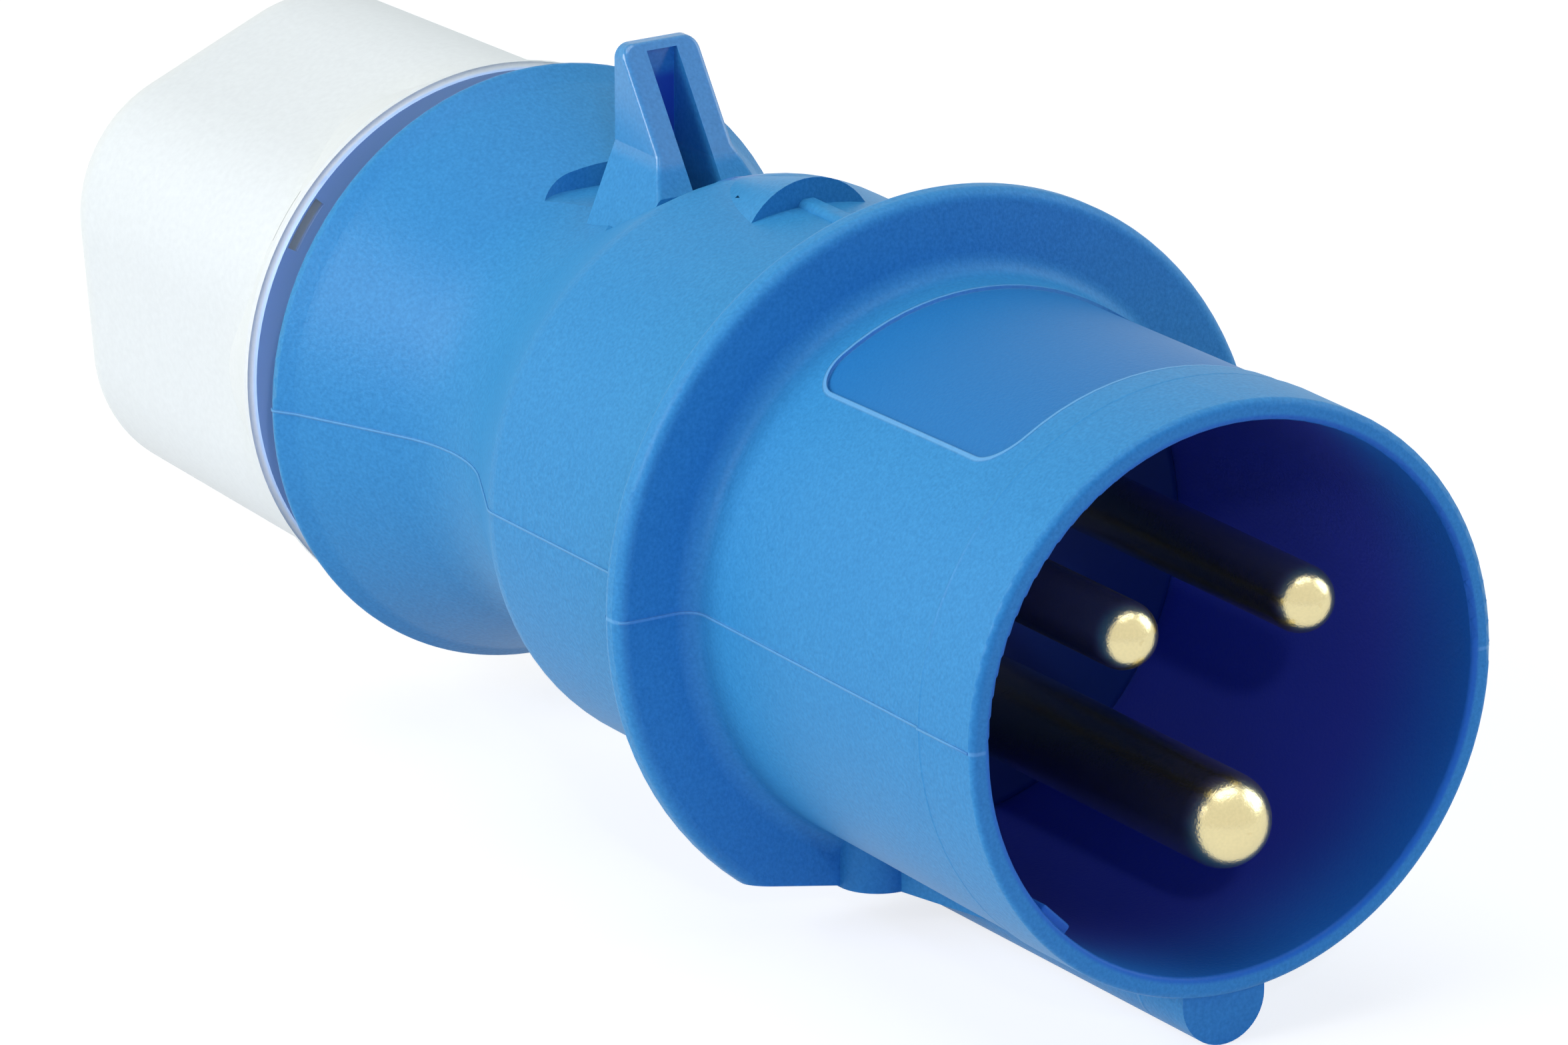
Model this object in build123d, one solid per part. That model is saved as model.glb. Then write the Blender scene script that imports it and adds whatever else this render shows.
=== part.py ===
from build123d import *
import os
from math import cos, degrees, pi, radians, sin, sqrt, tan

# Industrial plug, 16 A, two poles and earth, in a one-piece housing with a screwed cable gland.
# All lengths are millimetres. +X points out of the mouth of the shroud along the plug's axis,
# +Z is up, and the origin is the middle of the shroud's front rim.

# Shroud that slides into the connector
shroud_radius = 21.9
shroud_wall = 1.6
shroud_length = 37.6
shroud_draught = 0.6
front_band_length = 7.0
front_band_step = 0.15

# Flange that stops against the connector's face
flange_radius = 27.6
flange_thickness = 2.4
flange_edge_round = 0.9
flange_foot_drop = 24.9
flange_foot_slope = 10.2

# Body behind the flange
bell_rise = 0.1
bell_length = 25.0
bell_wall = 1.9
valley_run = 12.9
valley_depth = 6.3
valley_round = 14.0
skirt_run = 14.9
skirt_rise = 6.4
skirt_wall = 2.4
lip_run = 2.3
lip_rise = 1.5
lip_round = 0.6

# Threaded collar that carries the gland nut
collar_radius = 17.0
collar_wall = 2.4
collar_length = 17.9

# Key rib under the shroud
key_width = 6.9
key_reach = 26.0
key_setback = 1.2
key_gusset_length = 13.6
key_gusset_widening = 2.4
key_gusset_round = 3.2
key_gusset_drop = 23.4

# Lug on the top of the waist
lug_width = 6.6
lug_height = 29.5
lug_setback = 0.3
lug_back_wall = 0.9
lug_cheek = 2.0
lug_slope_run = 6.9
lug_slope_foot = 19.6
lug_corner_round = 1.1
lug_edge_round = 0.4
lug_flare_height = 22.1
lug_flare_slope = 0.42
lug_pocket_floor = 16.6
lug_pocket_width = 14.8
lug_pocket_setback = 7.0
lug_pocket_length = 12.0
lug_pocket_round = 4.0

# Arched hump over the latch of the contact carrier
hump_height = 24.1
hump_width = 9.8
hump_length = 9.0
hump_rib_width = 1.7
hump_rib_height = 22.55

# Bare label field, a shallow recess on top of the shroud
label_depth = 0.25
label_front = 10.0
label_back = 33.9
label_half_angle = 38.0
label_corner_round = 2.5

# Contact pins
pin_circle_radius = 9.2
live_pin_angle = 36.0
live_pin_radius = 2.5
live_tip_setback = 0.5
earth_pin_radius = 3.5
earth_tip_reach = 2.0
pin_shank_rise = 0.2
pin_shank_taper = 0.4
pin_collar_rise = 1.1
pin_collar_length = 2.0
pin_tail_radius = 2.3
pin_tail_length = 12.0

# Contact carrier, in two halves that trap the pins' collars
carrier_clearance = 0.15
carrier_thickness = 9.0
carrier_lip = 3.0
groove_setback = 1.5
stop_width = 3.0
stop_depth = 2.2
stop_angles = (45, 135, 225, 315)
boss_rise = 1.2
boss_length = 1.5
back_radius = 14.4
back_thickness = 3.6
back_wall = 1.2
hole_clearance = 0.05
carrier_step_gap = 0.2

# Latch tongue moulded on the carrier, which hooks behind a ledge under the hump
tongue_width = 6.0
tongue_thickness = 1.4
hook_height = 1.5
hook_length = 2.4

# Rubber rings
ring_section = 2.0
ring_squeeze = 0.15

# Screw cages on the pins' tails
cage_width = 6.6
cage_wall = 1.0
cage_length = 7.0
cage_gap = 2.8
plate_thickness = 0.8
screw_radius = 1.5
screw_length = 4.6
screw_slot_width = 0.8
screw_slot_depth = 0.9

# Screws that hold the carrier's halves together
fixing_circle_radius = 9.0
fixing_shank_radius = 1.2
fixing_head_radius = 2.2
fixing_head_height = 1.6
fixing_bite = 4.6
fixing_slot_depth = 0.9
fixing_angles = (-20.0, 200.0)

# Clamp cage with fingers, seated in the end of the collar
cage_fit_clearance = 0.1
basket_wall = 1.4
basket_lip_margin = 0.4
basket_lip_thickness = 1.8
basket_seat_length = 8.0
finger_count = 10
finger_length = 7.6
finger_lean = 1.0
finger_slot = 1.4
lip_seal_thickness = 1.0

# Rubber cable seal, in two nested rings
seal_length = 16.0
seal_wall = 2.6
seal_core_wall = 2.2
seal_core_inset = 1.0

# Gland nut and the slip washer inside it
nut_gap = 5.2
nut_length = 34.6
nut_front_radius = 21.7
nut_rim_round = 0.5
nut_flare_length = 12.0
nut_flat_count = 5
nut_corner_angle = 149.0
nut_flat_radius = 19.1
nut_taper_angle = 1.6
nut_edge_round = 4.6
nut_corner_round = 11.8
nut_front_wall = 1.2
nut_thread_clearance = 0.1
nut_end_wall = 6.2
nut_travel = 3.5
nut_slot_width = 0.9
nut_slot_length = 4.2
nut_slot_depth = 2.4
nut_slot_angle = 144.5
nut_slot_radius = 20.6
entry_radius = 9.6
entry_flare = 1.6
washer_thickness = 1.4
washer_radius = 16.1
washer_width = 6.2
washer_clearance = 0.3
washer_end_play = 0.05

# Room that a cut takes past the surface it opens
over = 1.0

# Places along the axis
flange_front = -shroud_length
flange_back = flange_front - flange_thickness
bell_end = flange_back - bell_length
valley_x = bell_end - valley_run
skirt_corner = valley_x - skirt_run
barrel_end = skirt_corner - lip_run
collar_end = barrel_end - collar_length
nut_front = barrel_end - nut_gap
nut_back = nut_front - nut_length

# Radii that follow from the sizes above
shroud_bore = shroud_radius - shroud_wall
bell_radius = shroud_radius + bell_rise
valley_radius = bell_radius - valley_depth
skirt_corner_radius = valley_radius + skirt_rise
barrel_radius = skirt_corner_radius + lip_rise
collar_bore = collar_radius - collar_wall
shroud_root_radius = shroud_radius - shroud_draught
shroud_root_round = (flange_radius - shroud_root_radius) * 0.25
bell_root_round = (flange_radius - bell_radius) * 0.6
chamber_radius = shroud_bore
chamber_end = bell_end + bell_wall

# Where the contact carrier sits
carrier_front = flange_front + 0.6
carrier_back = carrier_front - carrier_thickness
carrier_radius = chamber_radius - carrier_clearance
back_cover_end = carrier_back - back_thickness
hook_front = bell_end + hump_length - 1.4 - carrier_step_gap


def axis_profile(corners):
    """A face beside the X axis from (along, radius, corner rounding) triples, ready to revolve."""
    points = [(along, radius) for along, radius, rounding in corners]
    roundings = [rounding for along, radius, rounding in corners]
    with BuildSketch(Plane.XZ) as sketch:
        with BuildLine():
            FilletPolyline(*points, radius=roundings, close=True)
        make_face()
    return sketch.sketch


def turned(corners):
    """A solid of revolution about the plug's axis."""
    return revolve(axis_profile(corners), Axis.X)


def tube(front, back, outer, inner):
    """A plain ring or tube between two places along the axis."""
    return turned([(front, outer, 0), (back, outer, 0), (back, inner, 0), (front, inner, 0)])


def rod(front, back, radius):
    """A round bar on the axis, from front to back."""
    return Plane((back, 0, 0), x_dir=(0, 1, 0), z_dir=(1, 0, 0)) * extrude(Circle(radius), front - back)


def across(x):
    """The plane square to the axis at x, with its own x along +Y and its own y along +Z."""
    return Plane((x, 0, 0), x_dir=(0, 1, 0), z_dir=(1, 0, 0))


def block(low, high):
    """A box between two opposite corners."""
    size = [b - a for a, b in zip(low, high)]
    middle = [(a + b) / 2 for a, b in zip(low, high)]
    return Pos(*middle) * Box(*size)


def around(angle):
    """A turn about the plug's axis, where 0 is +Y and 90 is +Z."""
    return Rot(X=angle)


pin_angles = {"line": live_pin_angle, "neutral": 180 - live_pin_angle, "earth": -90}
pin_radii = {"line": live_pin_radius, "neutral": live_pin_radius, "earth": earth_pin_radius}
pin_tips = {"line": -live_tip_setback, "neutral": -live_tip_setback, "earth": earth_tip_reach}


def pin_place(name):
    """Where a pin's own axis lies: its (y, z) in the plug's frame."""
    angle = radians(pin_angles[name])
    return pin_circle_radius * cos(angle), pin_circle_radius * sin(angle)


def at_pin(name):
    """Moves something made about the plug's axis onto a pin's axis, turned to face outwards."""
    y, z = pin_place(name)
    return Pos(0, y, z) * around(pin_angles[name])


# Housing

def housing_shell():
    """Shroud, flange, bell, flared skirt and collar in one turned wall."""
    skirt_inner = barrel_radius - skirt_wall
    skirt_slope = skirt_rise / skirt_run
    groove_x = barrel_end + (skirt_inner - collar_radius) / skirt_slope
    return turned([
        (0, shroud_radius, 0.5),
        (-front_band_length, shroud_radius, 0),
        (-front_band_length - front_band_step, shroud_radius - front_band_step, 0),
        (flange_front, shroud_root_radius, shroud_root_round),
        (flange_front, flange_radius, flange_edge_round),
        (flange_back, flange_radius, flange_edge_round),
        (flange_back, bell_radius, bell_root_round),
        (bell_end, bell_radius, 3.0),
        (valley_x, valley_radius, valley_round),
        (skirt_corner, skirt_corner_radius, 3.0),
        (barrel_end, barrel_radius, lip_round),
        (barrel_end, skirt_inner, 0.5),
        (groove_x, collar_radius, 0.6),
        (collar_end, collar_radius, 0.6),
        (collar_end, collar_bore, 0.4),
        (chamber_end, collar_bore, 0.5),
        (chamber_end, chamber_radius, 0.5),
        (0, shroud_bore, 0.4),
    ])


def foot_cut():
    """What the two shallow flats at the bottom of the flange take away."""
    wide = flange_radius + over
    edge = wide * tan(radians(flange_foot_slope)) - flange_foot_drop
    outline = make_face(Polyline(
        (-wide, -wide), (wide, -wide), (wide, edge), (0, -flange_foot_drop), (-wide, edge), close=True,
    ))
    return extrude(across(flange_back - over) * outline, flange_thickness + 2 * over)


def key_rib():
    """The polarising rib under the shroud, round at the bottom, with a gusset at the flange."""
    half = key_width / 2
    root = shroud_bore + shroud_wall / 2
    back = flange_front - flange_thickness / 2
    top = -root / 2
    centre = half - key_reach
    with BuildSketch(across(back)) as section:
        with BuildLine():
            Polyline((-half, centre), (-half, top), (half, top), (half, centre))
            ThreePointArc((half, centre), (0, -key_reach), (-half, centre))
        make_face()
    rib = extrude(section.sketch, -key_setback - back, dir=(1, 0, 0))
    gusset_front = flange_front + key_gusset_length
    wide = half + key_gusset_widening
    with BuildSketch() as plan:
        with BuildLine():
            Polyline((flange_front + key_gusset_round, wide), (gusset_front, half), (gusset_front, -half),
                     (flange_front + key_gusset_round, -wide))
            RadiusArc((flange_front + key_gusset_round, -wide), (flange_front, -wide - key_gusset_round),
                      key_gusset_round)
            Polyline((flange_front, -wide - key_gusset_round), (back, -wide - key_gusset_round),
                     (back, wide + key_gusset_round), (flange_front, wide + key_gusset_round))
            RadiusArc((flange_front, wide + key_gusset_round), (flange_front + key_gusset_round, wide),
                      key_gusset_round)
        make_face()
    gusset = extrude(Pos(0, 0, -key_gusset_drop) * plan.sketch, key_gusset_drop + top)
    return (rib + gusset) & tube(over, back - over, flange_radius + over, root)


def lug():
    """Hollow-fronted lug on the waist: a back wall and two sloping cheeks, which flare at the foot."""
    half = lug_width / 2
    wide = half + lug_flare_slope * (lug_flare_height - valley_radius)
    back = valley_x + lug_setback
    front_top = back + lug_back_wall
    front_foot = front_top + lug_slope_run
    side = Plane((0, -wide, 0), x_dir=(1, 0, 0), z_dir=(0, -1, 0)) * make_face(Polyline(
        (back, valley_radius), (back, lug_height), (front_top, lug_height),
        (front_foot, lug_slope_foot), (front_foot, valley_radius), close=True,
    ))
    front_view = Pos(0, lug_height / 2) * RectangleRounded(lug_width, lug_height, lug_corner_round)
    front_view += make_face(Polyline(
        (-half, lug_flare_height), (half, lug_flare_height), (wide, valley_radius), (-wide, valley_radius),
        close=True,
    ))
    body = extrude(side, 2 * wide, dir=(0, 1, 0))
    body &= extrude(across(back - over) * front_view, front_foot - back + 2 * over)
    front_edges = [e for e in body.edges() if lug_slope_foot < e.center().Z < lug_height - lug_corner_round
                   and e.center().X > front_top and abs(e.center().Y) > half - lug_edge_round]
    body = fillet(front_edges, lug_edge_round)
    groove = block(
        (front_top, -half + lug_cheek, valley_radius - over),
        (front_foot + over, half - lug_cheek, lug_height - lug_corner_round / 2),
    )
    return body - groove


def lug_pocket():
    """Flat-floored pocket that the lug stands in."""
    middle = bell_end - lug_pocket_setback - lug_pocket_length / 2
    plan = RectangleRounded(lug_pocket_length, lug_pocket_width, lug_pocket_round)
    return extrude(Pos(middle, 0, lug_pocket_floor) * plan, flange_radius - lug_pocket_floor)


def arch_radius():
    """Radius of the hump's arch, through its crown and its two feet on the bell."""
    half = hump_width / 2
    rise = hump_height - sqrt(bell_radius**2 - half**2)
    return (half**2 + rise**2) / (2 * rise)


def hump():
    """Arched hump that rises towards the flange, from nothing to a crisp arch."""
    radius = arch_radius()
    centre = hump_height - radius
    front = bell_end + hump_length
    arch = across(front) * (Pos(0, centre) * Circle(radius))
    rear_centre = bell_radius - 0.5 - radius
    rear = across(bell_end - 1.5) * (Pos(0, rear_centre) * Circle(radius))
    body = loft([rear, arch])
    above = block((bell_end - 2, -hump_width, bell_radius - 6), (front + 1, hump_width, hump_height + 1))
    return body & above


def hump_rib():
    """Small rib that runs from the arch to the flange and marks the top of the plug."""
    front = flange_back + 1
    back = bell_end + hump_length - 1
    rib = block((back, -hump_rib_width / 2, bell_radius - 1.5), (front, hump_rib_width / 2, hump_rib_height))
    return fillet(rib.edges().filter_by(Axis.X).group_by(Axis.Z)[-1], hump_rib_width / 3)


def latch_hollow():
    """Room inside the hump for the hook of the carrier's tongue."""
    half = tongue_width / 2 + 0.3
    back = hook_front - hook_length - 0.8
    top = chamber_radius + hook_height + 0.25
    return block((back, -half, chamber_radius - 3), (hook_front + carrier_step_gap, half, top))


def label_field():
    """Shallow sunk field on top of the shroud, with nothing on it."""
    length = label_back - label_front
    floor_radius = shroud_root_radius - label_depth
    width = 2 * shroud_radius * sin(radians(label_half_angle))
    plan = RectangleRounded(length, width, label_corner_round)
    middle = -(label_front + label_back) / 2
    column = extrude(Pos(middle, 0, 0) * plan, shroud_radius + 1)
    slope = (shroud_radius - front_band_step - shroud_root_radius) / (shroud_length - front_band_length)
    near = shroud_root_radius + slope * (shroud_length - label_front) - label_depth
    far = shroud_root_radius + slope * (shroud_length - label_back) - label_depth
    wall = turned([
        (-label_front + 1, near + slope, 0), (-label_back - 1, far - slope, 0),
        (-label_back - 1, flange_radius, 0), (-label_front + 1, flange_radius, 0),
    ])
    return column & wall


def carrier_stops():
    """Ribs inside the bell that the carrier's back edge rests on."""
    front = carrier_back + carrier_lip - carrier_step_gap
    reach = chamber_radius + 0.5
    ribs = [
        around(angle) * block(
            (chamber_end - 0.5, reach - stop_depth - 0.5, -stop_width / 2), (front, reach, stop_width / 2))
        for angle in stop_angles
    ]
    return Compound(ribs)


def housing():
    body = housing_shell() - foot_cut()
    body = body - lug_pocket()
    outside = tube(1, collar_end, flange_radius + 5, collar_bore + 0.8)
    body = body + key_rib()
    for rib in carrier_stops().solids():
        body = body + rib
    body = body + (lug() & outside)
    body = body + (hump() & tube(1, collar_end, flange_radius + 5, chamber_radius + 0.6))
    body = body + (hump_rib() & outside)
    body = body - latch_hollow()
    return body - label_field()


# Contact carrier and what it holds

def carrier():
    """Front half of the carrier, with a boss round every pin and the latch tongue on top."""
    body = turned([
        (carrier_front, 0, 0),
        (carrier_front, carrier_radius, 0.8),
        (carrier_back + carrier_lip, carrier_radius, 0.3),
        (carrier_back + carrier_lip, carrier_radius - stop_depth - 0.3, 0),
        (carrier_back, carrier_radius - stop_depth - 0.3, 0),
        (carrier_back, 0, 0),
    ])
    groove_x = carrier_front - groove_setback
    groove_radius = carrier_radius - ring_section + ring_squeeze
    body -= tube(groove_x, groove_x - ring_section * 1.25, carrier_radius + over, groove_radius)
    for name in pin_angles:
        radius = pin_radii[name]
        boss = rod(carrier_front + boss_length, carrier_front - 1, radius + boss_rise)
        body += at_pin(name) * boss
    for name in pin_angles:
        bore_radius = pin_radii[name] + pin_shank_rise + hole_clearance
        seat_radius = pin_radii[name] + pin_collar_rise + hole_clearance
        bore = rod(carrier_front + boss_length + over, carrier_back - over, bore_radius)
        seat = rod(carrier_back + pin_collar_length, carrier_back - over, seat_radius)
        body -= at_pin(name) * (bore + seat)
    for angle in fixing_angles:
        hole = rod(carrier_back + fixing_bite * 1.1, carrier_back - over, fixing_shank_radius)
        body -= around(angle) * Pos(0, fixing_circle_radius, 0) * hole
    return body + tongue()


def tongue():
    """Spring tongue with a hook, which stands in the hollow under the hump."""
    half = tongue_width / 2
    top = chamber_radius - 0.3
    root = carrier_back + carrier_lip
    strip = block((hook_front - hook_length, -half, top - tongue_thickness), (root + 0.5, half, top))
    profile = Plane((0, -half, 0), x_dir=(1, 0, 0), z_dir=(0, -1, 0)) * make_face(Polyline(
        (hook_front, top - 0.5), (hook_front, top + hook_height),
        (hook_front - hook_length * 0.4, top + hook_height), (hook_front - hook_length, top - 0.5),
        close=True,
    ))
    return strip + extrude(profile, tongue_width, dir=(0, 1, 0))


def carrier_cover():
    """Rear half of the carrier: it closes the pins' seats and keeps the wires apart."""
    wall_back = back_cover_end - cage_length - 2.0
    body = rod(carrier_back, back_cover_end, back_radius)
    for name in pin_angles:
        fence = around(pin_angles[name] + 60) * block(
            (wall_back, 1.0, -back_wall / 2),
            (back_cover_end + 0.5, back_radius - 0.2, back_wall / 2))
        body += fence
    for name in pin_angles:
        body -= at_pin(name) * rod(carrier_back + 1, wall_back - 1, pin_tail_radius + hole_clearance)
    for angle in fixing_angles:
        place = around(angle) * Pos(0, fixing_circle_radius, 0)
        body -= place * rod(carrier_back + 1, wall_back - 1, fixing_shank_radius + hole_clearance)
        body -= place * rod(back_cover_end, wall_back - 1, fixing_head_radius + 0.1)
    return body


def pin(name):
    """Contact pin: domed tip, trapped collar and a tail for the screw cage."""
    radius = pin_radii[name]
    tip = pin_tips[name]
    tail_end = carrier_back - pin_tail_length
    collar = radius + pin_collar_rise
    collar_front = carrier_back + pin_collar_length
    shank_front = carrier_front + boss_length + carrier_step_gap
    with BuildSketch(Plane.XZ) as half:
        with BuildLine():
            dome = RadiusArc((tip, 0), (tip - radius, radius), -radius)
            Polyline(
                dome @ 1, (shank_front + pin_shank_taper, radius), (shank_front, radius + pin_shank_rise),
                (collar_front, radius + pin_shank_rise), (collar_front, collar), (carrier_back, collar),
                (carrier_back, pin_tail_radius), (tail_end, pin_tail_radius), (tail_end, 0), (tip, 0),
            )
        make_face()
    return at_pin(name) * revolve(half.sketch, Axis.X)


def ring(groove_front, outer, inner):
    """Rubber ring of round section between two radii."""
    section = (outer - inner) / 2
    middle = (outer + inner) / 2
    circle = Plane.XZ * (Pos(groove_front - ring_section * 0.625, middle) * Circle(section))
    return revolve(circle, Axis.X)


def carrier_seal():
    front = carrier_front - groove_setback
    inner = carrier_radius - ring_section + ring_squeeze
    return ring(front, chamber_radius - 0.02, inner + 0.02)


cage_back = back_cover_end - 0.5 - cage_length


def cage(name):
    """Square steel frame round a pin's tail, open along the pin, with room under its screw."""
    half = cage_width / 2
    low = -pin_tail_radius - cage_wall
    high = pin_tail_radius + cage_gap + cage_wall
    frame = block((cage_back, low, -half), (cage_back + cage_length, high, half))
    window = block(
        (cage_back - 1, low + cage_wall, -half + cage_wall),
        (cage_back + cage_length + 1, high - cage_wall, half - cage_wall))
    thread = Pos(cage_back + cage_length / 2, high - cage_wall / 2, 0) * Rot(X=90) * Cylinder(
        screw_radius, cage_wall * 2)
    return at_pin_level(name) * (frame - window - thread)


def at_pin_level(name):
    """A place on a pin's axis whose own +Y points to the side that its screw enters from."""
    y, z = pin_place(name)
    return Pos(0, y, z) * around(screw_sides[name])


screw_sides = {"line": 90, "neutral": 90, "earth": 180}


def pressure_plate(name):
    """Thin plate under a screw, which keeps its tip off the wire."""
    half = cage_width / 2 - cage_wall - 0.15
    foot = pin_tail_radius + cage_gap - plate_thickness - 0.4
    plate = block(
        (cage_back + 0.4, foot, -half),
        (cage_back + cage_length - 0.4, foot + plate_thickness, half))
    return at_pin_level(name) * plate


def cage_screw(name):
    """Slotted screw through the cage, its tip on the pressure plate."""
    foot = pin_tail_radius + cage_gap - 0.4
    screw = Pos(cage_back + cage_length / 2, foot + screw_length / 2, 0) * Rot(X=90) * Cylinder(
        screw_radius - hole_clearance, screw_length)
    slot = block(
        (cage_back, foot + screw_length - screw_slot_depth, -screw_slot_width / 2),
        (cage_back + cage_length, foot + screw_length + 1, screw_slot_width / 2))
    return at_pin_level(name) * (screw - slot)


def fixing_screw(angle):
    """Screw through the carrier's rear half into its front half."""
    shank = rod(carrier_back + fixing_bite, back_cover_end, fixing_shank_radius)
    head = rod(back_cover_end, back_cover_end - fixing_head_height, fixing_head_radius)
    slot = block(
        (back_cover_end - fixing_head_height - over, -fixing_head_radius, -screw_slot_width / 2),
        (back_cover_end - fixing_head_height + fixing_slot_depth, fixing_head_radius, screw_slot_width / 2))
    return around(angle) * Pos(0, fixing_circle_radius, 0) * (shank + head - slot)


# Cable gland

basket_radius = collar_bore - cage_fit_clearance
basket_bore = basket_radius - basket_wall
lip_front = collar_end - lip_seal_thickness
lip_back = lip_front - basket_lip_thickness
finger_back = lip_back - finger_length


def lip_seal():
    """Flat gasket between the collar's end and the clamp cage's lip."""
    return tube(collar_end, lip_front, collar_radius - basket_lip_margin, basket_radius + 0.1)


def clamp_basket():
    """Clamp cage: a sleeve in the collar, a lip against its end and a ring of leaning fingers."""
    body = turned([
        (collar_end + basket_seat_length, basket_radius, 0.3),
        (lip_front, basket_radius, 0),
        (lip_front, collar_radius - basket_lip_margin, 0.2),
        (lip_back, collar_radius - basket_lip_margin, 0.2),
        (lip_back, basket_radius, 0.3),
        (finger_back, basket_radius - finger_lean, 0.4),
        (finger_back, basket_bore - finger_lean, 0.2),
        (lip_back, basket_bore, 0),
        (collar_end + basket_seat_length, basket_bore, 0.2),
    ])
    for index in range(finger_count):
        slot = block(
            (finger_back - over, 0, -finger_slot / 2),
            (lip_back - 0.6, collar_radius, finger_slot / 2))
        body -= around(360 * index / finger_count + 18) * slot
    return body


seal_radius = basket_bore - finger_lean - 0.3
seal_back = finger_back + 0.6


def cable_seal():
    """Outer rubber ring of the cable seal, inside the clamp cage."""
    core = seal_radius - seal_wall
    return turned([
        (seal_back + seal_length, seal_radius, 0.8), (seal_back, seal_radius, 0.8),
        (seal_back, core, 0.3), (seal_back + seal_length, core, 0.3),
    ])


def cable_seal_core():
    """Inner rubber ring, which is taken out for a thicker cable."""
    outer = seal_radius - seal_wall - 0.02
    inner = outer - seal_core_wall
    front = seal_back + seal_length - seal_core_inset
    back = seal_back + seal_core_inset
    return turned([(front, outer, 0.3), (back, outer, 0.3), (back, inner, 0.4), (front, inner, 0.4)])


washer_back = nut_back + nut_end_wall + washer_end_play


def slip_washer():
    """Ring between the nut and the fingers: it slides along but doesn't turn."""
    inner = washer_radius - washer_width
    return turned([
        (washer_back + washer_thickness, washer_radius, 0.2),
        (washer_back, washer_radius, 0.2),
        (washer_back, inner, 0.2),
        (washer_back + washer_thickness, inner, 0.6),
    ])


def nut_outside():
    """Nut with five flats and broad round corners, which flares into a round front rim."""
    prism_front = nut_front - 2.5
    prism_length = prism_front - nut_back
    corner_radius = nut_flat_radius / cos(pi / nut_flat_count)
    plan = RegularPolygon(corner_radius, nut_flat_count, rotation=180 - nut_corner_angle)
    plan = fillet(plan.vertices(), nut_corner_round)
    facing_back = Plane((prism_front, 0, 0), x_dir=(0, -1, 0), z_dir=(-1, 0, 0))
    prism = extrude(facing_back * plan, prism_length, taper=nut_taper_angle)
    prism = fillet(prism.faces().sort_by(Axis.X)[0].edges(), nut_edge_round)
    flare_back = nut_front - nut_flare_length
    inner = nut_flat_radius - 0.8
    rim_flat = nut_front_radius - nut_rim_round
    with BuildSketch(Plane.XZ) as half:
        with BuildLine():
            sweep_in = Bezier(
                (nut_front - 2 * nut_rim_round, nut_front_radius),
                (nut_front - nut_flare_length / 3, nut_flat_radius + 1),
                (nut_front - nut_flare_length / 2, nut_flat_radius),
                (flare_back, inner))
            edge = RadiusArc(
                (nut_front, rim_flat), (nut_front - nut_rim_round, nut_front_radius), nut_rim_round)
            Polyline(edge @ 1, sweep_in @ 0)
            Polyline(sweep_in @ 1, (flare_back, 0), (nut_front, 0), edge @ 0)
        make_face()
    return prism + revolve(half.sketch, Axis.X)


def gland_nut():
    """Gland nut: threaded mouth, washer chamber and flared cable entry."""
    bore = collar_radius + nut_thread_clearance
    mouth_end = lip_back - nut_travel - 0.7
    chamber = washer_radius + washer_clearance
    hollow = turned([
        (nut_front + 1, 0, 0),
        (nut_front + 1, bore, 0),
        (mouth_end, bore, 0.4),
        (mouth_end - 1.2, chamber, 0.4),
        (nut_back + nut_end_wall, chamber, 0.3),
        (nut_back + nut_end_wall, entry_radius, 0),
        (nut_back + entry_flare, entry_radius, 0.4),
        (nut_back - 1, entry_radius + entry_flare, 0),
        (nut_back - 1, 0, 0),
    ])
    body = nut_outside() - hollow
    half_angle = degrees(nut_slot_length / 2 / nut_slot_radius)
    slot = tube(
        nut_front + 1, nut_front - nut_slot_depth,
        nut_slot_radius + nut_slot_width / 2, nut_slot_radius - nut_slot_width / 2)
    reach = nut_front_radius * 1.4
    rise = reach * sin(radians(half_angle))
    run = reach * cos(radians(half_angle))
    sector = make_face(Polyline((0, 0), (run, -rise), (run, rise), close=True))
    wedge = extrude(across(nut_front + over) * sector, -nut_slot_depth - 2 * over)
    return body - (slot & (around(nut_slot_angle) * wedge))


def write(name, shape):
    export_step(shape, "parts/" + name + ".step")


os.makedirs("parts", exist_ok=True)
write("housing", housing())
write("contact_carrier", carrier())
write("carrier_cover", carrier_cover())
write("carrier_seal", carrier_seal())
for pole in pin_angles:
    write(pole + "_pin", pin(pole))
    write(pole + "_cage", cage(pole))
    write(pole + "_plate", pressure_plate(pole))
write("terminal_screws", Compound([cage_screw(pole) for pole in pin_angles]))
write("carrier_screws", Compound([fixing_screw(angle) for angle in fixing_angles]))
write("lip_seal", lip_seal())
write("clamp_basket", clamp_basket())
write("cable_seal", cable_seal())
write("cable_seal_core", cable_seal_core())
write("slip_washer", slip_washer())
write("gland_nut", gland_nut())
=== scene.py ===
# %% [markdown]
# # An industrial plug
#
# The object is a 16 A industrial plug: one blue nylon moulding with a shroud, a flange, a waisted
# body and a lug, three brass pins deep in the mouth, and a white gland nut with five flats behind.
# The CAD model is loaded as it stands, because its shape is finished, and this file adds what the
# eye wants: finishes, the fine lines that the mould leaves, the thread under the nut, light, a
# floor and a camera.

# %% Load the frame
from math import radians, tau

import bmesh
import bpy
from mathutils import Matrix, Vector


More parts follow.
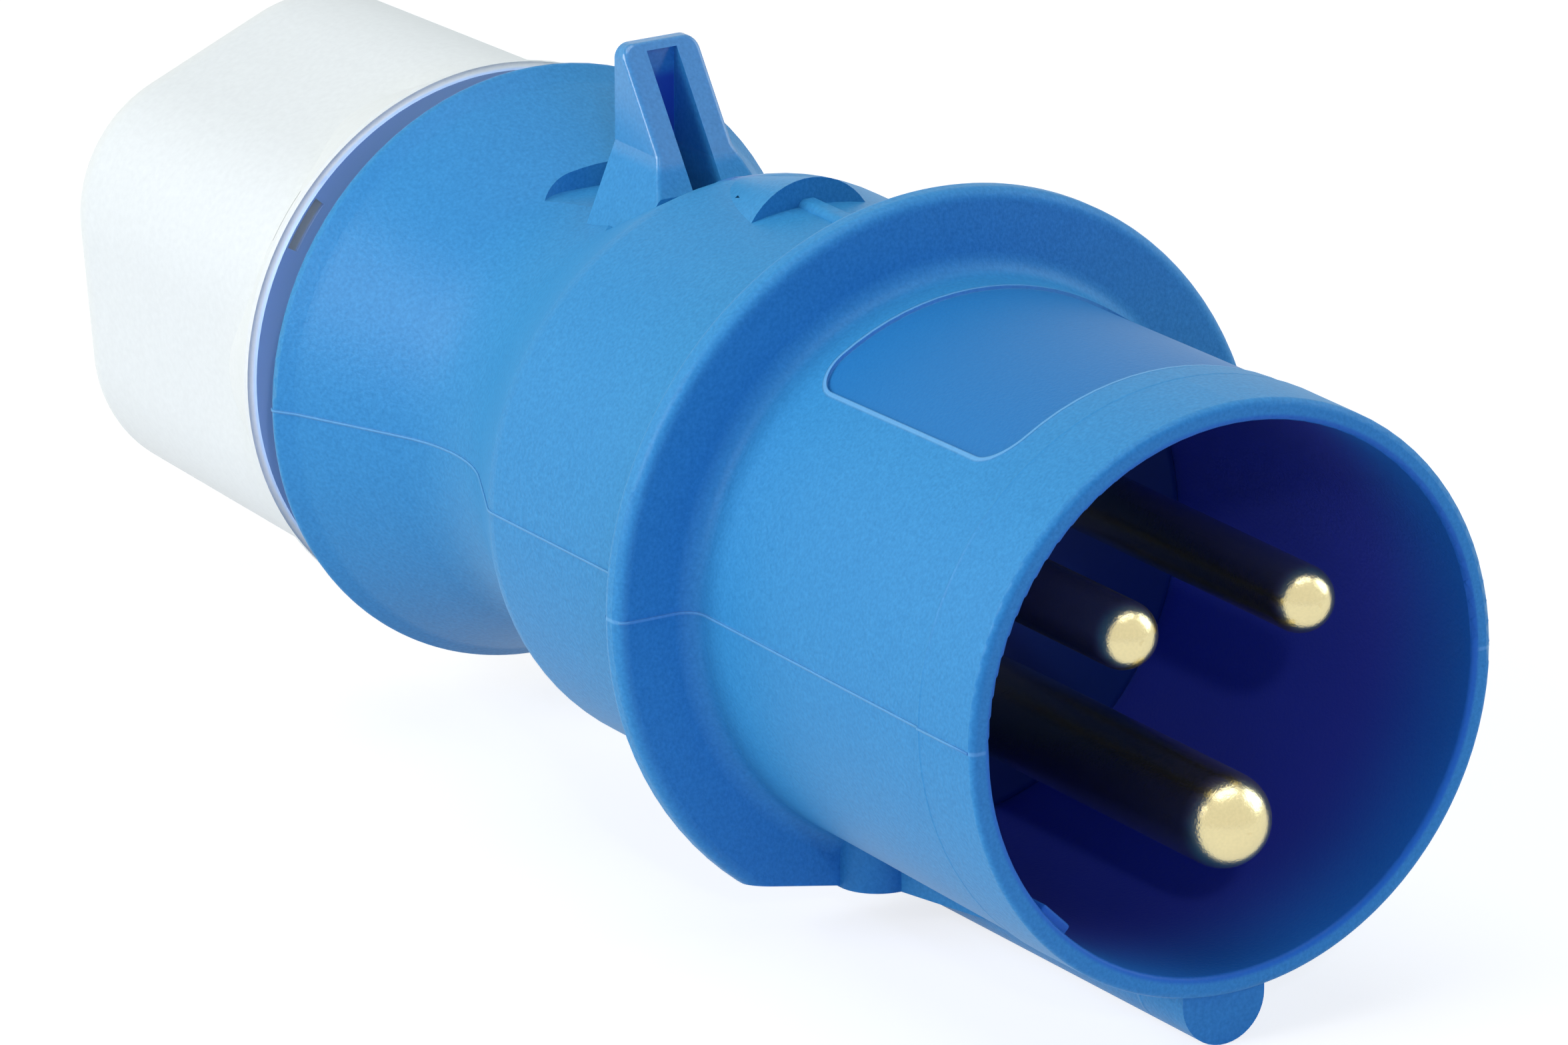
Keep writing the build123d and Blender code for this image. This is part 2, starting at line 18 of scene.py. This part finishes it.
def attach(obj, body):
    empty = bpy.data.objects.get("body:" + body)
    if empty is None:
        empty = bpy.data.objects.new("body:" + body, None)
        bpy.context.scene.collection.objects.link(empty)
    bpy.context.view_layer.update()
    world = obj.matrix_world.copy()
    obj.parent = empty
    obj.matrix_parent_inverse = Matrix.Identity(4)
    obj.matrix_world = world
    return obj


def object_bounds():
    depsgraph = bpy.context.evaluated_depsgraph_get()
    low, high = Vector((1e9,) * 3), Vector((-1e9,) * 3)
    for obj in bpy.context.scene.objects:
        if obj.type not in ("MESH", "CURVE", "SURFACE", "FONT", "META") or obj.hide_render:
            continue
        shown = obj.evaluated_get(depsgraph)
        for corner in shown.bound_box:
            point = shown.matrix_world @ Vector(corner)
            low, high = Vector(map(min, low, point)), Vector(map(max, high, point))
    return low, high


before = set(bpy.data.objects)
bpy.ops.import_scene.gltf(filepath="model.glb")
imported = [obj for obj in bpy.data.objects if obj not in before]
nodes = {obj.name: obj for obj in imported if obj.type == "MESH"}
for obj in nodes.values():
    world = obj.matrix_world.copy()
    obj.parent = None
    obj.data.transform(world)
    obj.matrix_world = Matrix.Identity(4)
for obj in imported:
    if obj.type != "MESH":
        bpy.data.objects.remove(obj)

cad_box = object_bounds()
print("CAD nodes:", len(nodes))

# %% [markdown]
# The photograph was taken from the front right with a long lens, which hardly shows any
# perspective. The camera stands almost a metre away and looks down by 18 degrees. Its place and
# turn were worked out from the rims and edges that the photograph shows.

# %% Camera
MM = 0.001
camera_data = bpy.data.cameras.new("camera")
camera = bpy.data.objects.new("camera", camera_data)
bpy.context.collection.objects.link(camera)
camera.location = Vector((766.5473, -514.5943, 315.5641)) * MM
camera.rotation_euler = (radians(71.8616), radians(0.2677), radians(57.9933))
camera_data.lens = 319.835
camera_data.sensor_width = 36
camera_data.clip_end = 20
bpy.context.scene.camera = camera
print("camera to mouth, mm:", round(camera.location.length / MM))

# %% [markdown]
# Finishes, world and floor are all built from nodes. One small function adds a node with its
# settings and links, under Blender's own names, so that each tree below can be read as it would
# look in the editor. Colours are written as sRGB hex values, as a colour picker shows them, and
# turned to the linear values that Blender reckons with.

# %% Node helpers


def add_node(tree, kind, settings=None, **links):
    """Adds a shader node. Settings are its properties. Links give an input a value or a socket; an
    input goes by its name, or by i and its number where names repeat."""
    node = tree.nodes.new(kind)
    for name, value in (settings or {}).items():
        setattr(node, name, value)
    for name, value in links.items():
        key = int(name[1:]) if name[0] == "i" and name[1:].isdigit() else name.replace("_", " ")
        if isinstance(value, bpy.types.NodeSocket):
            tree.links.new(value, node.inputs[key])
        else:
            node.inputs[key].default_value = value
    return node


def linear(hex_colour):
    """An sRGB hex colour as linear RGBA."""
    parts = [int(hex_colour[i : i + 2], 16) / 255 for i in (1, 3, 5)]
    return [c / 12.92 if c <= 0.04045 else ((c + 0.055) / 1.055) ** 2.4 for c in parts] + [1.0]


# %% [markdown]
# The light is that of a product table. A large soft lamp stands on the camera's side of the plug
# but behind its mouth, so that the side is bright and every face that looks forward falls into
# shade. A second one hangs above, a weaker one stands on the far side, and a cool one in front
# keeps the flange blue. A narrow spot looks into the mouth, as a photographer's snoot does. The
# room adds very little. A camera ray that misses the plug sees plain white, and so do reflections.

# %% World and lamps
scene = bpy.context.scene
scene.view_settings.view_transform = "Standard"

world = bpy.data.worlds.new("studio")
world.use_nodes = True
scene.world = world
room = world.node_tree
room.nodes.clear()
seen = add_node(room, "ShaderNodeLightPath")
shown = seen.outputs["Is Camera Ray"]
for ray in ("Is Glossy Ray", "Is Transmission Ray"):
    shown = add_node(room, "ShaderNodeMath", {"operation": "MAXIMUM"},
                     i0=shown, i1=seen.outputs[ray]).outputs[0]
white_room = add_node(room, "ShaderNodeBackground", Color=(1, 1, 1, 1), Strength=1.0)
lit_room = add_node(room, "ShaderNodeBackground", Color=(0.6, 0.8, 1.0, 1), Strength=0.1)
choice = add_node(room, "ShaderNodeMixShader",
                  i0=shown, i1=lit_room.outputs[0], i2=white_room.outputs[0])
add_node(room, "ShaderNodeOutputWorld", Surface=choice.outputs[0])

PLUG_MIDDLE = Vector((-0.06, 0, 0))
MOUTH_MIDDLE = Vector((-0.006, 0.003, -0.001))


def softbox(name, place, width, height, power, colour=(1, 1, 1)):
    """A rectangular lamp turned towards the middle of the plug."""
    data = bpy.data.lights.new(name, "AREA")
    data.shape = "RECTANGLE"
    data.size, data.size_y = width, height
    data.energy = power
    data.color = colour
    lamp = bpy.data.objects.new(name, data)
    bpy.context.collection.objects.link(lamp)
    lamp.location = place
    lamp.rotation_euler = (PLUG_MIDDLE - Vector(place)).to_track_quat("-Z", "Y").to_euler()
    return lamp


# Places and sizes are in metres, power is in watts
softbox("side_softbox", (-0.27, -0.79, 0.38), 0.6, 0.5, 6.4)
softbox("top_softbox", (0.02, 0.0, 0.9), 0.8, 0.6, 3.3)
softbox("right_softbox", (0.15, 0.65, 0.35), 0.5, 0.5, 2.2, (0.8, 0.92, 1.0))
front = softbox("cool_front_softbox", (0.80, -0.32, 0.05), 0.5, 0.5, 2.8, (0.03, 0.2, 1.0))
front.visible_glossy = False

snoot_data = bpy.data.lights.new("mouth_snoot", "SPOT")
snoot_data.energy = 58.0
snoot_data.color = (0.8, 0.78, 1.0)
snoot_data.spot_size = radians(3.1)
snoot_data.spot_blend = 0.35
snoot_data.shadow_soft_size = 0.09
snoot = bpy.data.objects.new("mouth_snoot", snoot_data)
bpy.context.collection.objects.link(snoot)
snoot.location = (0.62, -0.30, 0.36)
snoot.rotation_euler = (MOUTH_MIDDLE - snoot.location).to_track_quat("-Z", "Y").to_euler()
snoot.visible_glossy = False

# %% [markdown]
# The floor is a plain pale sheet at the height of the plug's lowest point. To the camera it is
# white, with only a soft grey where the plug shades it.

# %% Floor
FLOOR_HALF_SIZE = 6.0
floor_mesh = bpy.data.meshes.new("floor")
plate = bmesh.new()
bmesh.ops.create_grid(plate, x_segments=1, y_segments=1, size=FLOOR_HALF_SIZE)
bmesh.ops.translate(plate, verts=plate.verts, vec=(0, 0, cad_box[0].z))
plate.to_mesh(floor_mesh)
plate.free()
floor = bpy.data.objects.new("floor", floor_mesh)
bpy.context.collection.objects.link(floor)

paper = bpy.data.materials.new("white_paper")
paper.use_nodes = True
sheet = paper.node_tree
sheet.nodes.clear()
sight = add_node(sheet, "ShaderNodeLightPath")
watched = add_node(sheet, "ShaderNodeMath", {"operation": "MAXIMUM"},
                   i0=sight.outputs["Is Camera Ray"], i1=sight.outputs["Is Glossy Ray"])
# Under these lamps the dimmer sheet and the glow add up to white, and its shadow stays pale
shade = add_node(sheet, "ShaderNodeBsdfDiffuse", Color=(0.8, 0.8, 0.8, 1))
dim_shade = add_node(sheet, "ShaderNodeBsdfDiffuse", Color=(0.4, 0.4, 0.4, 1))
glow = add_node(sheet, "ShaderNodeEmission", Color=(1, 1, 1, 1), Strength=0.76)
lit = add_node(sheet, "ShaderNodeAddShader", i0=dim_shade.outputs[0], i1=glow.outputs[0])
cast = add_node(sheet, "ShaderNodeMixShader",
                i0=watched.outputs[0], i1=shade.outputs[0], i2=lit.outputs[0])
add_node(sheet, "ShaderNodeOutputMaterial", Surface=cast.outputs[0])
floor_mesh.materials.append(paper)
print("floor height, mm:", round(cad_box[0].z / MM, 2))

# %% [markdown]
# Each finish starts from the real stuff, and its grain from a real size in millimetres. A grain
# varies the colour, the shine and the relief together, because all three come from the same little
# pits. Most finishes need no more than that, so one function makes them.

# %% Materials


def new_material(name):
    """An empty node material with its Principled shader and output."""
    material = bpy.data.materials.new(name)
    material.use_nodes = True
    tree = material.node_tree
    tree.nodes.clear()
    shader = add_node(tree, "ShaderNodeBsdfPrincipled")
    add_node(tree, "ShaderNodeOutputMaterial", Surface=shader.outputs[0])
    return material, tree, shader


GRAIN_ROUGHNESS = 0.55


def plain_finish(name, colour, roughness, size_mm, depth_mm, metallic=0.0):
    """A finish of one colour whose grain varies it and its shine a little."""
    material, tree, shader = new_material(name)
    place = add_node(tree, "ShaderNodeTexCoord").outputs["Object"]
    grain = add_node(tree, "ShaderNodeTexNoise", Vector=place, Scale=1 / (size_mm * MM),
                     Detail=2.0, Roughness=GRAIN_ROUGHNESS).outputs[0]
    bright = linear(colour)
    dark = [channel * 0.88 for channel in bright[:3]] + [1.0]
    tone = add_node(tree, "ShaderNodeMix", {"data_type": "RGBA"}, i0=grain, i6=dark, i7=bright)
    shine = add_node(tree, "ShaderNodeMix", i0=grain, i2=roughness * 0.8, i3=roughness * 1.2)
    relief = add_node(tree, "ShaderNodeBump", Strength=1.0, Distance=depth_mm * MM, Height=grain)
    shader.inputs["Metallic"].default_value = metallic
    tree.links.new(tone.outputs[2], shader.inputs["Base Color"])
    tree.links.new(shine.outputs[0], shader.inputs["Roughness"])
    tree.links.new(relief.outputs[0], shader.inputs["Normal"])
    return material, tree, shader


def region(tree, whole, *limits):
    """The part of a whole, which is a mask or 1, that lies inside all the limits. A limit is a
    coordinate, the millimetre where the mask is still zero and the millimetre where it is one."""
    for coordinate, zero_at, one_at in limits:
        step = add_node(tree, "ShaderNodeMapRange", {"interpolation_type": "SMOOTHSTEP"},
                        Value=coordinate, i1=zero_at * MM, i2=one_at * MM).outputs[0]
        whole = add_node(tree, "ShaderNodeMath", {"operation": "MULTIPLY"},
                         i0=whole, i1=step).outputs[0]
    return whole


# %% [markdown]
# The body is polyamide from a spark-eroded mould, which leaves a fine matt grain of about a third
# of a millimetre. Several marks of the mould are drawn in the same material. Painting them by hand
# would need a picture, so they are found by true distances along and around the plug's axis: the
# parting line, the polished lug, the bare label field with its bead, and the collar's coarse
# thread.
# The parting line's paler tone and the bead's pale tone are painted highlights, the light that the
# fine ridge and the bead catch. Inside the shroud and in the lug's groove light bounces from wall
# to wall and turns a deeper blue, so both get a deeper tone.

# %% Places on the moulding
blue_nylon, tree, shader = new_material("moulded_blue_polyamide")
place = add_node(tree, "ShaderNodeTexCoord").outputs["Object"]
along, across, height = add_node(tree, "ShaderNodeSeparateXYZ", Vector=place).outputs
from_axis = add_node(tree, "ShaderNodeVectorMath", {"operation": "MULTIPLY"},
                     i0=place, i1=(0, 1, 1)).outputs[0]
radius = add_node(tree, "ShaderNodeVectorMath", {"operation": "LENGTH"},
                  i0=from_axis).outputs["Value"]

# The mask turns over between the wall's two faces, so that neither face shows the step
WALL_MIDDLE, FLANGE_BACK = 20.7, -40.0
in_shroud = region(tree, 1.0, (radius, WALL_MIDDLE + 0.2, WALL_MIDDLE - 0.2),
                   (along, FLANGE_BACK, FLANGE_BACK + 3))
deep_down = region(tree, in_shroud, (along, 0, -14))
not_in_shroud = add_node(tree, "ShaderNodeMath", {"operation": "SUBTRACT"},
                         i0=1.0, i1=in_shroud).outputs[0]
on_outside = region(tree, not_in_shroud, (radius, 15.5, 16))
# The parting line's pale tone is a painted highlight, the light that its fine ridge catches
parting_line_highlight = region(tree, on_outside, (height, -0.2, -0.06), (height, 0.2, 0.06))

# The shroud's first 7 mm are a hair thicker, and the step is softened here
BAND_END = -7.0
band_step = region(tree, on_outside, (along, BAND_END - 0.3, BAND_END - 0.05),
                   (along, BAND_END + 0.3, BAND_END + 0.05))

# The lug stands alone above the waist. Its groove is 2.6 mm wide, ends below the lug's top and
# opens forward, so its tone stops at the lug's back wall
on_lug = region(tree, 1.0, (height, 21, 22), (along, -84, -82), (along, -64, -66))
in_groove = region(tree, on_lug, (across, -1.32, -1.22), (across, 1.32, 1.22),
                   (height, 27.6, 26.4), (along, -77.2, -77.0))
on_collar = region(tree, 1.0, (radius, 17.3, 17.1), (along, -95.6, -96))
print("nodes that place the marks:", len(tree.nodes))

# %% Bare label field
# Its mask is the distance out of a rounded rectangle on top of the shroud: the place is folded into
# one quarter and measured from the middle of the corner's arc. Height doesn't count, so far more
# than the plug's height is taken from it.
LABEL_MIDDLE, LABEL_REACH, LABEL_HALF_WIDTH, LABEL_ROUND = -21.95, 11.95, 13.5, 2.5
FAR = 1000
label_place = place
for operation, amount in (
    ("SUBTRACT", (LABEL_MIDDLE, 0, 0)),
    ("ABSOLUTE", (0, 0, 0)),
    ("SUBTRACT", (LABEL_REACH - LABEL_ROUND, LABEL_HALF_WIDTH - LABEL_ROUND, FAR)),
    ("MAXIMUM", (0, 0, 0)),
):
    label_place = add_node(tree, "ShaderNodeVectorMath", {"operation": operation},
                           i0=label_place, i1=Vector(amount) * MM).outputs[0]
label_edge = add_node(tree, "ShaderNodeVectorMath", {"operation": "LENGTH"},
                      i0=label_place).outputs["Value"]
on_top = region(tree, not_in_shroud, (height, 12, 13))
on_label = region(tree, on_top, (label_edge, LABEL_ROUND, LABEL_ROUND - 0.2))
# The bead is a small relief, and its pale tone is a painted highlight, the light that its edge
# catches
bead_middle = LABEL_ROUND + 0.12
bead_relief_and_highlight = region(tree, on_top, (label_edge, bead_middle - 0.22, bead_middle - 0.08),
              (label_edge, bead_middle + 0.22, bead_middle + 0.08))
print("label field, mm:", 2 * LABEL_REACH, "by", 2 * LABEL_HALF_WIDTH)

# %% Thread under the nut
# One turn about the axis moves the wave by one pitch, which makes it a screw. The wave runs from 0
# at the thread's root to 0.5 at its crest, and its flanks lie between.
THREAD_PITCH = 4.0
ROOT_END, CREST_START = 0.18, 0.32
angle = add_node(tree, "ShaderNodeMath", {"operation": "ARCTAN2"}, i0=height, i1=across)
turns = add_node(tree, "ShaderNodeMath", {"operation": "DIVIDE"}, i0=angle.outputs[0], i1=tau)
turns = add_node(tree, "ShaderNodeMath", {"operation": "MULTIPLY_ADD"},
                 i0=along, i1=1 / (THREAD_PITCH * MM), i2=turns.outputs[0])
wave = add_node(tree, "ShaderNodeMath", {"operation": "PINGPONG"}, i0=turns.outputs[0], i1=0.5)
ridge = add_node(tree, "ShaderNodeMapRange", {"interpolation_type": "SMOOTHSTEP"},
                 Value=wave.outputs[0], i1=ROOT_END, i2=CREST_START)
thread = add_node(tree, "ShaderNodeMath", {"operation": "MULTIPLY"},
                  i0=ridge.outputs[0], i1=on_collar).outputs[0]
print("thread pitch, mm:", THREAD_PITCH)

# %% Blue polyamide
# The grain gives the blue its chalky look, and the cloud keeps wide faces from looking printed.
# Each layer of tone has a mask, the share of it that shows, and a colour. The pale bead and
# parting line are painted highlights, and the deeper tones inside are painted shade.
GRAIN_SIZE, CLOUD_SIZE = 0.28, 6.0
fine = add_node(tree, "ShaderNodeTexNoise", Vector=place, Scale=1 / (GRAIN_SIZE * MM),
                Detail=2.0, Roughness=GRAIN_ROUGHNESS).outputs[0]
cloud = add_node(tree, "ShaderNodeTexNoise", Vector=place, Scale=1 / (CLOUD_SIZE * MM),
                 Detail=3.0, Roughness=GRAIN_ROUGHNESS).outputs[0]
tone = add_node(tree, "ShaderNodeMix", {"data_type": "RGBA"},
                i0=fine, i6=linear("#2276AC"), i7=linear("#46A0D6")).outputs[2]
for mask, share, colour in (
    (cloud, 0.3, "#2A80BA"),
    (on_label, 0.7, "#1A6CAE"),
    (bead_relief_and_highlight, 0.45, "#86C0EA"),
    (parting_line_highlight, 0.3, "#8CC4EC"),
    (in_shroud, 0.75, "#1C62BE"),
    (in_groove, 1.0, "#2C54B0"),
    (deep_down, 1.0, "#4654B8"),
):
    factor = add_node(tree, "ShaderNodeMath", {"operation": "MULTIPLY"}, i0=mask, i1=share)
    tone = add_node(tree, "ShaderNodeMix", {"data_type": "RGBA"},
                    i0=factor.outputs[0], i6=tone, i7=linear(colour)).outputs[2]
tree.links.new(tone, shader.inputs["Base Color"])

# The lug's face of the mould is polished, so it shines and its grain is nearly gone
shine = add_node(tree, "ShaderNodeMix", i0=on_lug, i2=0.46, i3=0.2)
gloss = add_node(tree, "ShaderNodeMix", i0=on_lug, i2=0.2, i3=0.6)
grain_strength = add_node(tree, "ShaderNodeMix", i0=on_lug, i2=1.0, i3=0.15)
tree.links.new(shine.outputs[0], shader.inputs["Roughness"])
tree.links.new(gloss.outputs[0], shader.inputs["Specular IOR Level"])
shader.inputs["IOR"].default_value = 1.53

# Each layer of relief lies on the one before it
relief = None
for shape, depth_mm, strength in (
    (thread, 1.2, 1.0),
    (bead_relief_and_highlight, 0.1, 1.0),
    (band_step, 0.05, 1.0),
    (fine, 0.035, grain_strength.outputs[0]),
):
    layer = add_node(tree, "ShaderNodeBump",
                     Strength=strength, Distance=depth_mm * MM, Height=shape)
    if relief:
        tree.links.new(relief, layer.inputs["Normal"])
    relief = layer.outputs[0]
tree.links.new(relief, shader.inputs["Normal"])
print("nodes in the blue polyamide:", len(tree.nodes))

# %% [markdown]
# The nut is a smooth white polyamide. Its front face looks at the blue skirt from close by and
# takes on its blue, more than the bounce of light alone gives here, so it gets a bluish tone. The
# other finishes are seen little: the pins are brass, turned on a lathe and polished, and what sits
# behind them is plain moulded plastic, zinc plated steel and rubber.

# %% Other finishes
# Nearly white, with a soft satin shine
NUT_FRONT = -100.6
white_nylon, tree, shader = plain_finish("moulded_white_polyamide", "#EAEFEC", 0.38, 0.5, 0.01)
place = add_node(tree, "ShaderNodeTexCoord").outputs["Object"]
along = add_node(tree, "ShaderNodeSeparateXYZ", Vector=place).outputs[0]
on_front = region(tree, 1.0, (along, NUT_FRONT - 0.15, NUT_FRONT + 0.15))
plain_tone = shader.inputs["Base Color"].links[0].from_socket
tinted = add_node(tree, "ShaderNodeMix", {"data_type": "RGBA"},
                  i0=on_front, i6=plain_tone, i7=linear("#B2D0F8"))
tree.links.new(tinted.outputs[2], shader.inputs["Base Color"])

# The floor of the mouth, a little smoother than the body. Its blue is darkened as painted shade
# deep in the mouth
carrier_nylon_with_painted_shade = plain_finish("dark_blue_polyamide_and_painted_shade", "#16346A", 0.4, 0.35, 0.01)[0]
# Clamp cage and washer, matt and undyed
grey_nylon = plain_finish("moulded_grey_polyamide", "#8E9294", 0.45, 0.5, 0.01)[0]
# Pale gold, whose polish softens the pins' highlights a little
brass = plain_finish("turned_polished_brass", "#E6D8A6", 0.24, 0.22, 0.02, 1.0)[0]
# Cool grey metal with a cloudy shine
zinc = plain_finish("zinc_plated_steel", "#B9BCC0", 0.32, 0.6, 0.01, 1.0)[0]
# Nearly black, without shine
rubber = plain_finish("black_chloroprene_rubber", "#26272A", 0.7, 0.3, 0.01)[0]

finishes = {
    blue_nylon: ["housing"],
    carrier_nylon_with_painted_shade: ["contact_carrier", "carrier_cover"],
    white_nylon: ["gland_nut"],
    grey_nylon: ["clamp_basket", "slip_washer"],
    brass: ["line_pin", "neutral_pin", "earth_pin"],
    zinc: ["line_cage", "neutral_cage", "earth_cage", "line_plate", "neutral_plate", "earth_plate",
           "terminal_screws", "carrier_screws"],
    rubber: ["carrier_seal", "lip_seal", "cable_seal", "cable_seal_core"],
}
for material, names in finishes.items():
    for name in names:
        mesh = nodes[name].data
        mesh.materials.clear()
        mesh.materials.append(material)
print("finished nodes:", sum(len(names) for names in finishes.values()))

# %% [markdown]
# Where the mould's halves meet, a thin ridge of plastic runs down both sides of the plug. It has to
# follow every swell of the body, so it is cut out of the body itself: a copy of the CAD mesh is
# sliced to a strip a fifth of a millimetre wide at the height of the axis, the inner walls are
# thrown away, and the strip gets a thickness outwards. The nut covers the collar, so the ridge
# ends at the skirt.

# %% Parting ridge
RIDGE_HALF_WIDTH = 0.09
RIDGE_HEIGHT = 0.1
RIDGE_FRONT, RIDGE_END = -0.7, -94.9
OUTSIDE_OF_COLLAR, FLANGE_EDGE = 15.5, 27.4
ridge_mesh = bmesh.new()
ridge_mesh.from_mesh(nodes["housing"].data)
bmesh.ops.remove_doubles(ridge_mesh, verts=ridge_mesh.verts, dist=0.001 * MM)
for side in (1, -1):
    everything = ridge_mesh.verts[:] + ridge_mesh.edges[:] + ridge_mesh.faces[:]
    bmesh.ops.bisect_plane(ridge_mesh, geom=everything,
                           plane_co=(0, 0, side * RIDGE_HALF_WIDTH * MM),
                           plane_no=(0, 0, side), clear_outer=True)


def is_hidden(face):
    """True for inner walls, the collar, the rim's front and the flange's outermost edge."""
    middle = face.calc_center_median()
    reach = abs(middle.y)
    faces_inwards = face.normal.y * middle.y < -0.05 * reach
    outside_band = reach < OUTSIDE_OF_COLLAR * MM or reach > FLANGE_EDGE * MM
    past_end = not RIDGE_END * MM < middle.x < RIDGE_FRONT * MM
    return faces_inwards or outside_band or past_end


hidden = [face for face in ridge_mesh.faces if is_hidden(face)]
bmesh.ops.delete(ridge_mesh, geom=hidden, context="FACES")
bmesh.ops.solidify(ridge_mesh, geom=ridge_mesh.faces[:], thickness=-RIDGE_HEIGHT * MM)
ridge_data = bpy.data.meshes.new("parting_ridge")
ridge_mesh.to_mesh(ridge_data)
ridge_mesh.free()
ridge_data.materials.append(blue_nylon)
parting_ridge = bpy.data.objects.new("parting_ridge", ridge_data)
bpy.context.collection.objects.link(parting_ridge)
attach(parting_ridge, "plug")
print("parting ridge faces:", len(ridge_data.polygons))

# %% [markdown]
# Low on the left inside the mouth the photograph shows a small rib, 3 mm wide and 1 mm high. What
# it is for can't be seen. Its root lies in the wall, and its edges are rounded.

# %% Rib inside the mouth
SHROUD_BORE, ROOT_IN_WALL = 20.3, 0.3
RIB_TOP = 19.35
RIB_LENGTH, RIB_WIDTH, RIB_MIDDLE = 6.0, 3.0, -5.0
RIB_EDGE = 0.25
RIB_ANGLE = -43.8
rib_height = SHROUD_BORE + ROOT_IN_WALL - RIB_TOP
rib_mesh = bmesh.new()
bmesh.ops.create_cube(rib_mesh, size=1.0)
rib_size = Vector((RIB_LENGTH, RIB_WIDTH, rib_height)) * MM
bmesh.ops.scale(rib_mesh, verts=rib_mesh.verts, vec=rib_size)
bmesh.ops.bevel(rib_mesh, geom=rib_mesh.edges, affect="EDGES", offset=RIB_EDGE * MM, segments=3,
                profile=0.5, material=-1)
bmesh.ops.translate(rib_mesh, verts=rib_mesh.verts,
                    vec=Vector((RIB_MIDDLE, 0, -RIB_TOP - rib_height / 2)) * MM)
around_axis = Matrix.Rotation(radians(RIB_ANGLE), 3, "X")
bmesh.ops.rotate(rib_mesh, verts=rib_mesh.verts, matrix=around_axis)
rib_data = bpy.data.meshes.new("mouth_rib")
rib_mesh.to_mesh(rib_data)
rib_mesh.free()
for face in rib_data.polygons:
    face.use_smooth = True
rib_data.materials.append(blue_nylon)
mouth_rib = bpy.data.objects.new("mouth_rib", rib_data)
bpy.context.collection.objects.link(mouth_rib)
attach(mouth_rib, "plug")
print("mouth rib faces:", len(rib_data.polygons))
